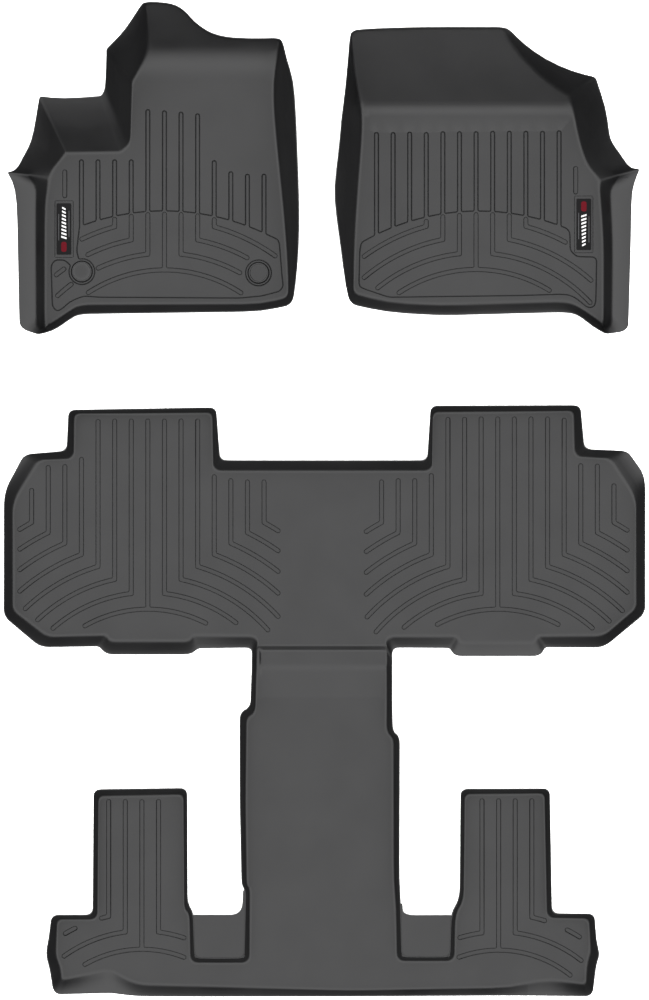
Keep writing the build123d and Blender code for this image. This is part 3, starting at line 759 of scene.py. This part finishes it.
def slab(outline, bottom, top, rounding, parts=4):
    """Closed shell of a flat plate whose upper edge is rounded: its vertices and faces."""
    outline = counter_clockwise(np.array(outline, float))
    levels = [(-rounding / 3, bottom), (0, bottom + rounding / 3)]
    levels += [(-rounding * (1 - cos(a)), top - rounding * (1 - sin(a)))
               for a in np.linspace(0, pi / 2, parts + 1)]
    count = len(outline)
    vertices = [(*point, z) for outside, z in levels for point in offset_loop(outline, outside)]
    faces = [list(range(count))[::-1], list(range(len(vertices) - count, len(vertices)))]
    for level in range(len(levels) - 1):
        for i in range(count):
            j = (i + 1) % count
            near, far = level * count, (level + 1) * count
            faces.append([near + i, near + j, far + j, far + i])
    return vertices, faces


def lathed(centre, profile, parts=72):
    """Closed shell turned about an upright axis; its profile of (radius, z) starts and ends on the axis."""
    x, y = centre
    vertices = [(x, y, profile[0][1])]
    for radius, z in profile[1:-1]:
        vertices += [(*point, z) for point in arc(centre, radius, 0, 2 * pi, parts)[:-1]]
    vertices.append((x, y, profile[-1][1]))
    faces = []
    last_ring = len(vertices) - 1 - parts
    for i in range(parts):
        j = (i + 1) % parts
        faces.append([0, 1 + j, 1 + i])
        for ring in range(1, last_ring, parts):
            faces.append([ring + i, ring + j, ring + parts + j, ring + parts + i])
        faces.append([last_ring + i, last_ring + j, len(vertices) - 1])
    return vertices, faces


def mesh_of(name, shells):
    """One mesh of several closed shells."""
    vertices, faces = [], []
    for shell_vertices, shell_faces in shells:
        first = len(vertices)
        vertices += shell_vertices
        faces += [[first + corner for corner in face] for face in shell_faces]
    mesh = bpy.data.meshes.new(name)
    mesh.from_pydata([Vector(vertex) * MM for vertex in vertices], [], faces)
    mesh.update()
    return mesh


TOE_INSET = 5.0             # from a toe board's free edge to where its lip begins
TOE_LIP = 1.0               # how much the free edge curls up
TOE_ROWS = 9.0              # between rows of points on a toe board


def toe_stations(edge, rise):
    """Sections through the free edge of a toe board, which only curls up a little."""
    lift = FRONT_FLOOR - RIM_SHEET + TOE_LIP
    return [(x, y - TOE_INSET, x, y, rise(x, y) + lift, STRAIGHT) for x, y in edge]


def show(name, mesh, body, replaced, material):
    """Put a mesh in the scene as a piece that rides on a body and stands for CAD nodes."""
    piece = bpy.data.objects.new(name, mesh)
    bpy.context.scene.collection.objects.link(piece)
    mesh.materials.append(material)
    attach(piece, body)
    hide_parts(*replaced)
    return piece


def smooth_but_flats(mesh):
    """Smooth shading, except for the faces that are level and so are exactly flat."""
    normals = np.array([polygon.normal.z for polygon in mesh.polygons])
    mesh.polygons.foreach_set("use_smooth", np.abs(normals) < 0.99999)


def rear_liner(material):
    def spacing(x, y):
        in_step = abs(x) < AISLE_HALF and AISLE_STEP[0][0] - 5 < y < AISLE_STEP[-1][0] + 10
        return STEP_SPACING if in_step else WALL_SPACING

    grid = wall_grid(REAR_WALL, REAR_FLOOR, rear_rise, spacing)
    loops = []
    side_arcs = [LEFT_THIRD_ROW.short_arc(2, -1, 157, 180), RIGHT_THIRD_ROW.short_arc(2, 1, 161, 190)]
    groups = (LEFT_SECOND_ROW, RIGHT_SECOND_ROW, LEFT_THIRD_ROW, RIGHT_THIRD_ROW)
    for outline in [*(outline for group in groups for outline in group.outlines()), *side_arcs]:
        loops += edge_loops(outline, REAR_FLOOR, CHANNEL_DEPTH)
    rows = [*np.arange(-466, -350, 6), -348, -345, -342, -339, -336, -333, -330]
    inside = grid[:, 0, :2]
    field = field_points(inside, rows, 8)
    field = field[np.abs(field[:, 0]) < AISLE_HALF]
    mesh = liner_mesh("rear_liner_sheet", grid, REAR_FLOOR, rear_rise, loops, field, [])
    plates = []
    for saddle in SADDLES:
        outline = rounded_loop([corner[:2] for corner in saddle], cuts=[cut for x, y, cut in saddle],
                               fineness=radians(12))
        plates.append(slab(outline, SADDLE - RIM_SHEET, SADDLE, SADDLE_ROUNDING))
    joined = bmesh.new()
    joined.from_mesh(mesh)
    joined.from_mesh(mesh_of("saddles", plates))
    joined.to_mesh(mesh)
    joined.free()
    smooth_but_flats(mesh)
    return show("rear_liner_sheet", mesh, "rear", ["rear_liner"], material)


BADGE_FRAME = (44, 134)
BADGE_CORNER = 4.0
BADGE_RECESS = 1.2
DRIVER_BADGE = (-612, 642)
PASSENGER_BADGE = (609, 653)


def circle(centre, radius, parts=48):
    return np.array(arc(centre, radius, 0, 2 * pi, parts)[:-1])


def front_liner(name, body, stations, edge, rise, toe_start, loops, holes, material):
    """A front liner; the loops are the features of its floor."""
    def spacing(x, y):
        return TOE_ROWS if y > toe_start - 20 else WALL_SPACING

    grid = wall_grid(stations + toe_stations(edge, rise), FRONT_FLOOR, rise, spacing)
    inside = grid[:, 0, :2]
    rows = np.arange(toe_start + 2 * TOE_ROWS / 3, inside[:, 1].max(), TOE_ROWS)
    field = field_points(inside, rows, 14)
    mesh = liner_mesh(name, grid, FRONT_FLOOR, rise, loops, field, holes)
    smooth_but_flats(mesh)
    return show(name, mesh, body, [f"{body}_liner"], material)


def driver_liner(material):
    rest = [*cornered(DRIVER_RESERVOIR_REST), *notch(RETAINERS["left"], radians(150), radians(465)),
            *cornered([DRIVER_NOTCH_END])]
    outline = reservoir_outline(DRIVER_RESERVOIR_ARC, rest, DRIVER_AXIS, DRIVER_UPPER_TOPS)
    loops = edge_loops(outline, FRONT_FLOOR, STEP, GROOVED_PROFILE)
    boss = circle(RETAINERS["right"], BOSS_RADIUS)
    loops += edge_loops(boss, FRONT_FLOOR, STEP, GROOVED_PROFILE, inside_is_low=False)
    for centre in RETAINERS.values():
        loops += edge_loops(circle(centre, SEAT_RADIUS), FRONT_FLOOR, SEAT_DEPTH)
    side_arcs = [DRIVER_CHANNELS.short_arc(1, -1, 219, 251), DRIVER_CHANNELS.short_arc(2, -1, 236, 254)]
    for outline in [*DRIVER_CHANNELS.outlines(), *side_arcs]:
        loops += edge_loops(outline, REAR_FLOOR, CHANNEL_DEPTH)
    lone_channel = straight_outline(DRIVER_AXIS - 6 * CHANNEL_PITCH, 776, 720)
    loops += edge_loops(lone_channel, FRONT_FLOOR, CHANNEL_DEPTH)
    badge_frame = rectangle(DRIVER_BADGE, BADGE_FRAME, BADGE_CORNER)
    loops += edge_loops(badge_frame, FRONT_FLOOR, BADGE_RECESS, GROOVED_PROFILE)
    holes = [(circle(centre, RETAINER_HOLE), FRONT_FLOOR - SEAT_DEPTH) for centre in RETAINERS.values()]
    return front_liner("driver_liner_sheet", "driver", DRIVER_WALL, DRIVER_TOE_EDGE,
                       driver_rise, DRIVER_TOE_START, loops, holes, material)


def passenger_liner(material):
    outline = reservoir_outline(PASSENGER_RESERVOIR_ARC, cornered(PASSENGER_RESERVOIR_REST), PASSENGER_AXIS,
                                PASSENGER_UPPER_TOPS)
    loops = edge_loops(outline, FRONT_FLOOR, STEP, GROOVED_PROFILE)
    for outline in PASSENGER_CHANNELS.outlines():
        loops += edge_loops(outline, REAR_FLOOR, CHANNEL_DEPTH)
    lone_channel = straight_outline(PASSENGER_AXIS + 6 * CHANNEL_PITCH, 784, 729)
    loops += edge_loops(lone_channel, FRONT_FLOOR, CHANNEL_DEPTH)
    badge_frame = rectangle(PASSENGER_BADGE, BADGE_FRAME, BADGE_CORNER)
    loops += edge_loops(badge_frame, FRONT_FLOOR, BADGE_RECESS, GROOVED_PROFILE)
    return front_liner("passenger_liner_sheet", "passenger", PASSENGER_WALL, PASSENGER_TOE_EDGE,
                       passenger_rise, PASSENGER_TOE_START, loops, [], material)


PLATE_SIZE = (34, 120)
PAD_SIZE = (30, 116)
PAD_BOTTOM = FRONT_FLOOR - BADGE_RECESS
PAD_THICKNESS = 0.6
PLATE_BOTTOM = PAD_BOTTOM + PAD_THICKNESS
PLATE_THICKNESS = 1.2
PLATE_TOP = PLATE_BOTTOM + PLATE_THICKNESS
INLAY_PROUD = 0.25          # how far the plate's inlays stand out
INLAY_SUNK = 0.1            # and how far they reach into it
INLAY_ROUNDING = 0.12
BARS = 9
BAR_PITCH = 8.5


def rectangle(centre, size, corner):
    across, along = size[0] / 2, size[1] / 2
    signs = ((-1, -1), (1, -1), (1, 1), (-1, 1))
    corners = [(centre[0] + side * across, centre[1] + end * along) for side, end in signs]
    return rounded_loop(corners, cuts=[corner] * 4, fineness=radians(15))


def slanted_bar(centre, width, height, slant):
    """Outline of a bar across a plate, with one end further forward than the other."""
    x, y = centre
    corners = [(x - width / 2, y - height / 2 - slant / 2), (x + width / 2, y - height / 2 + slant / 2),
               (x + width / 2, y + height / 2 + slant / 2), (x - width / 2, y + height / 2 - slant / 2)]
    return rounded_loop(corners, cuts=[0.8] * 4, fineness=radians(30))


def inlay(outline):
    return slab(outline, PLATE_TOP - INLAY_SUNK, PLATE_TOP + INLAY_PROUD, INLAY_ROUNDING, parts=2)


def badge(body, centre, forward):
    """A plain plate on its pad: light slanted bars that shorten along it, two fine lines, and a red dot.

    forward is 1 where the red dot is at the front end of the plate, and -1 at its rear end.
    """
    x, y = centre
    pad_slab = slab(rectangle(centre, PAD_SIZE, 2.0), PAD_BOTTOM, PLATE_BOTTOM, 0.15)
    pad = mesh_of(f"{body}_badge_pad_foam", [pad_slab])
    show(pad.name, pad, body, [f"{body}_badge_pad"], foam)
    plate_slab = slab(rectangle(centre, PLATE_SIZE, 3.0), PLATE_BOTTOM, PLATE_TOP, 0.4)
    plate = mesh_of(f"{body}_badge_plate_blank", [plate_slab])
    smooth_but_flats(plate)
    show(plate.name, plate, body, [f"{body}_badge_plate"], plate_black)
    bars = []
    for number in range(BARS):
        place = (x, y + forward * (20 - BAR_PITCH * number))
        bars.append(inlay(slanted_bar(place, width=13 - 0.6 * number, height=4.6, slant=4 * forward)))
    show(f"{body}_badge_bars", mesh_of(f"{body}_badge_bars", bars), body, [], inlay_pale)
    lines = []
    for side in (-1, 1):
        lines.append(inlay(rectangle((x + side * 12, y - forward * (8 + 4 * side)), (1.6, 62), 0.6)))
    show(f"{body}_badge_lines", mesh_of(f"{body}_badge_lines", lines), body, [], inlay_grey)
    dot = inlay(rectangle((x, y + forward * 42), (13, 24), 6.0))
    show(f"{body}_badge_dot", mesh_of(f"{body}_badge_dot", [dot]), body, [], inlay_red)


def retainer(side, dish_depth, dish_round):
    """A cap through the liner, and the ring that grips its stem from below."""
    centre = RETAINERS[side]
    top = FRONT_FLOOR + CAP_PROUD
    dish = top - dish_depth
    seat = FRONT_FLOOR - SEAT_DEPTH + 0.05
    cap = [(0, seat + 1), (8.6, seat + 1), (9, seat + 0.6), (9, 1.0), (9.4, 0.6), (11.1, 0.6), (11.5, 1.0),
           (11.5, seat - 0.1), (11.9, seat), (23.5, seat), (24.0, seat + 0.4), (24.0, FRONT_FLOOR + 0.5),
           (23.7, FRONT_FLOOR + 1.3), (23.0, top - 0.25), (22.4, top), (21.4, top), (20.7, top - 0.25),
           (20.1, top - 0.9)]
    cap += [(19.6 - dish_round * share, dish + (dish_depth - 1.2) * (1 - share) ** 2)
            for share in (0, 0.2, 0.4, 0.6, 0.8, 1)]
    cap.append((0, dish))
    mesh = mesh_of(f"{side}_retainer_cap_disc", [lathed(centre, cap)])
    smooth_but_flats(mesh)
    show(mesh.name, mesh, "driver", [f"{side}_retainer_cap"], cap_plastic)
    for ring_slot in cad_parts[f"{side}_retainer_ring"].material_slots:
        ring_slot.material = ring_plastic


# --- materials ----------------------------------------------------------------------------------
def moulded(name, dark, light, roughness, grain, specular=0.5):
    """A moulded surface: cloudy colour and gloss, and a fine grain.

    grain is (size of its pebbles in mm, their height in mm); roughness is its (lowest, highest) value.
    """
    material = bpy.data.materials.new(name)
    material.use_nodes = True
    nodes = material.node_tree.nodes
    link = material.node_tree.links.new
    shader = nodes["Principled BSDF"]
    shader.inputs["Specular IOR Level"].default_value = specular
    place = nodes.new("ShaderNodeTexCoord")

    clouds = nodes.new("ShaderNodeTexNoise")
    clouds.inputs["Scale"].default_value = 9
    clouds.inputs["Detail"].default_value = 6
    link(place.outputs["Object"], clouds.inputs["Vector"])
    shades = nodes.new("ShaderNodeValToRGB")
    for stop, position, colour in zip(shades.color_ramp.elements, (0.3, 0.7), (dark, light)):
        stop.position = position
        stop.color = (*colour, 1)
    link(clouds.outputs["Fac"], shades.inputs["Fac"])
    link(shades.outputs["Color"], shader.inputs["Base Color"])
    gloss = nodes.new("ShaderNodeMapRange")
    for socket, value in zip(("From Min", "From Max", "To Min", "To Max"), (0.3, 0.7, *roughness)):
        gloss.inputs[socket].default_value = value
    link(clouds.outputs["Fac"], gloss.inputs["Value"])
    link(gloss.outputs["Result"], shader.inputs["Roughness"])

    size, height = grain
    pebbles = nodes.new("ShaderNodeTexVoronoi")
    pebbles.feature = "SMOOTH_F1"
    pebbles.inputs["Scale"].default_value = 1 / (size * MM)
    link(place.outputs["Object"], pebbles.inputs["Vector"])
    ripples = nodes.new("ShaderNodeTexNoise")
    ripples.inputs["Scale"].default_value = 0.4 / (size * MM)
    ripples.inputs["Detail"].default_value = 3
    link(place.outputs["Object"], ripples.inputs["Vector"])
    relief = nodes.new("ShaderNodeMath")
    relief.operation = "SUBTRACT"
    link(ripples.outputs["Fac"], relief.inputs[0])
    link(pebbles.outputs["Distance"], relief.inputs[1])
    bump = nodes.new("ShaderNodeBump")
    bump.inputs["Strength"].default_value = 1
    bump.inputs["Distance"].default_value = height * MM
    link(relief.outputs["Value"], bump.inputs["Height"])
    link(bump.outputs["Normal"], shader.inputs["Normal"])
    return material


BLACKS = [(0.0045, 0.0045, 0.0048), (0.006, 0.006, 0.0063)]
rubber = moulded("rubber", *BLACKS, (0.36, 0.44), (1.1, 0.025), specular=0.36)
cap_plastic = moulded("cap_plastic", *BLACKS, (0.32, 0.38), (0.6, 0.015), specular=0.36)
ring_plastic = moulded("ring_plastic", (0.012, 0.012, 0.013), (0.018, 0.018, 0.02), (0.4, 0.5), (0.6, 0.02))
foam = moulded("foam", (0.02, 0.02, 0.022), (0.035, 0.035, 0.037), (0.85, 0.95), (0.5, 0.08))
plate_black = moulded("plate_black", (0.002, 0.002, 0.0022), (0.003, 0.003, 0.0033),
                      (0.4, 0.5), (0.5, 0.01), specular=0.1)
inlay_pale = moulded("inlay_pale", (0.24, 0.24, 0.24), (0.3, 0.3, 0.3),
                     (0.35, 0.45), (0.4, 0.01), specular=0.1)
inlay_grey = moulded("inlay_grey", (0.035, 0.035, 0.036), (0.05, 0.05, 0.052),
                     (0.35, 0.45), (0.4, 0.01), specular=0.1)
inlay_red = moulded("inlay_red", (0.05, 0.003, 0.006), (0.065, 0.004, 0.008),
                    (0.35, 0.45), (0.4, 0.01), specular=0.05)

rear_liner(rubber)
driver_liner(rubber)
passenger_liner(rubber)
badge("driver", DRIVER_BADGE, -1)
badge("passenger", PASSENGER_BADGE, 1)
retainer("left", 2.6, 12.0)
retainer("right", 1.9, 1.6)

# --- studio -------------------------------------------------------------------------------------
CAMERA_HEIGHT = 9.8         # metres
FRAME_HEIGHT = 2.35         # metres of floor across the picture's height
camera_data = bpy.data.cameras.new("camera")
camera_data.lens = camera_data.sensor_width * CAMERA_HEIGHT / FRAME_HEIGHT
camera = bpy.data.objects.new("camera", camera_data)
camera.location = (0, 0.0055, CAMERA_HEIGHT)
bpy.context.scene.collection.objects.link(camera)
bpy.context.scene.camera = camera

floor_mesh = bpy.data.meshes.new("floor")
floor_mesh.from_pydata([(-30, -30, 0), (30, -30, 0), (30, 30, 0), (-30, 30, 0)], [], [(0, 1, 2, 3)])
floor = bpy.data.objects.new("floor", floor_mesh)
bpy.context.scene.collection.objects.link(floor)
pale_floor = moulded("pale_floor", (0.88, 0.88, 0.88), (0.9, 0.9, 0.9), (0.85, 0.95), (3, 0.02))
floor_mesh.materials.append(pale_floor)


def studio_dome():
    """A bright dome, dimmer towards the horizon, and plain where the camera sees it."""
    # sine of the height above the horizon, and brightness there
    brightness = [(0.0, 0.0), (0.12, 0.1), (0.25, 0.5), (0.4, 1.0),
                  (0.6, 1.4), (0.8, 1.45), (0.93, 1.1), (1.0, 0.92)]
    scale = 2.85
    world = bpy.data.worlds.new("studio")
    world.use_nodes = True
    nodes = world.node_tree.nodes
    link = world.node_tree.links.new
    background = nodes["Background"]
    background.inputs["Strength"].default_value = scale
    place = nodes.new("ShaderNodeTexCoord")
    axes = nodes.new("ShaderNodeSeparateXYZ")
    link(place.outputs["Generated"], axes.inputs["Vector"])
    dome = nodes.new("ShaderNodeValToRGB")
    stops = dome.color_ramp.elements
    while len(stops) < len(brightness):
        stops.new(0.5)
    for stop, (position, level) in zip(stops, brightness):
        stop.position = position
        stop.color = (level, level, level, 1)
    link(axes.outputs["Z"], dome.inputs["Fac"])
    link(dome.outputs["Color"], background.inputs["Color"])
    seen = nodes.new("ShaderNodeBackground")
    seen.inputs["Color"].default_value = (0.95, 0.95, 0.95, 1)
    path = nodes.new("ShaderNodeLightPath")
    mix = nodes.new("ShaderNodeMixShader")
    link(path.outputs["Is Camera Ray"], mix.inputs["Fac"])
    link(background.outputs["Background"], mix.inputs[1])
    link(seen.outputs["Background"], mix.inputs[2])
    link(mix.outputs["Shader"], nodes["World Output"].inputs["Surface"])
    return world


bpy.context.scene.world = studio_dome()
view = bpy.context.scene.view_settings
view.view_transform = "Standard"
view.gamma = 0.8
view.exposure = 0.45
